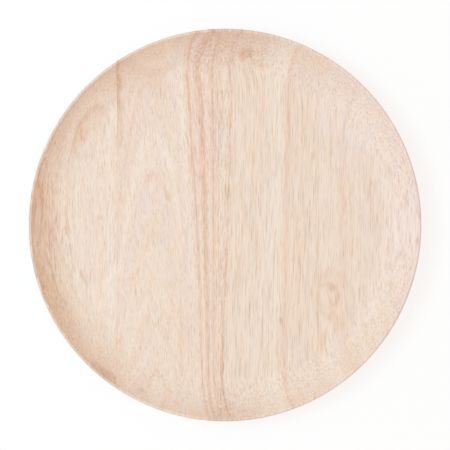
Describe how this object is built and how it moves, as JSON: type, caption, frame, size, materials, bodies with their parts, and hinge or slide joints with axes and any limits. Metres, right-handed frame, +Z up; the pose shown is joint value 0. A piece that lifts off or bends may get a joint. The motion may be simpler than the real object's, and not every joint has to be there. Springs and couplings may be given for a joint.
{
  "type": "wooden plate",
  "caption": "Round turned wooden plate: a broad flat well that sweeps up into a thin rounded lip, standing on a flat foot; pale wood with a straight grain.",
  "frame": {"origin": "centre of the flat foot, on the plate's axis", "axes": "+Z up along the axis the plate is turned about; +Y along the wood's grain; +X across the grain"},
  "size_m": [0.25, 0.25, 0.02],
  "materials": {
    "rubberwood": "turned and sanded, matte"
  },
  "bodies": {
    "root": {"plate": "rubberwood"}
  },
  "joints": []
}
